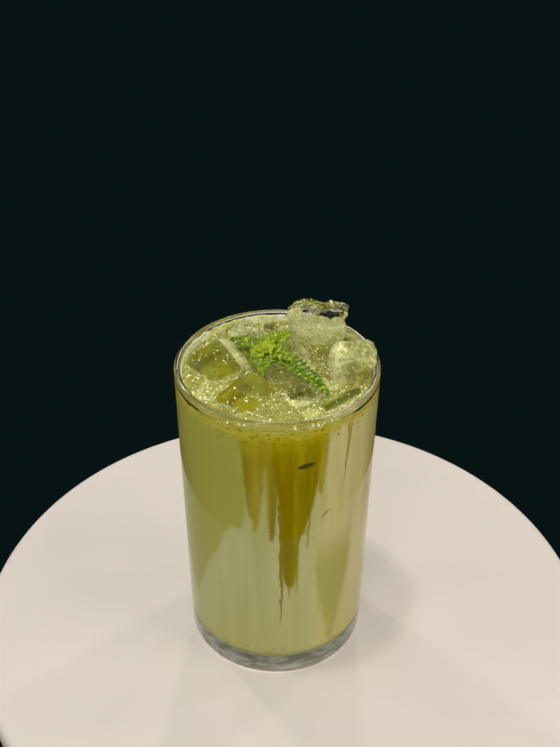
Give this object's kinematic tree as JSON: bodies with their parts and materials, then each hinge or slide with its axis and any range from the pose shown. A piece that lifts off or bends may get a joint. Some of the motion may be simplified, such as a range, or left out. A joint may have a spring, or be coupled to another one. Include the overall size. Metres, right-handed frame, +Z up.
{
  "type": "iced matcha latte",
  "caption": "Tall straight glass of iced matcha latte, streaked olive and milky green, with a frothy top, half-melted floating ice and a sprig of mint.",
  "frame": {"origin": "centre of the glass's underside, which is the surface it stands on", "axes": "+Z up the glass's axis; +Y is the back of the glass, +X its right, as seen from the front"},
  "size_m": [0.075, 0.075, 0.1399],
  "materials": {
    "clear_glass": "clear, smooth and glossy",
    "matcha_milk": "opaque milky green drink with olive streaks, wet",
    "wet_ice": "clear to cloudy ice, half melted, wet and glossy",
    "mint_green": "soft leaf with veins, slightly glossy"
  },
  "bodies": {
    "root": {"glass": "clear_glass", "drink": "matcha_milk", "ice_back_right": "wet_ice", "ice_left": "wet_ice", "ice_front_left": "wet_ice", "ice_front_right": "wet_ice", "ice_centre": "wet_ice", "ice_right": "wet_ice", "ice_right_front": "wet_ice", "ice_back_left": "wet_ice", "ice_back_centre": "wet_ice", "mint_sprig": "mint_green"}
  },
  "joints": []
}
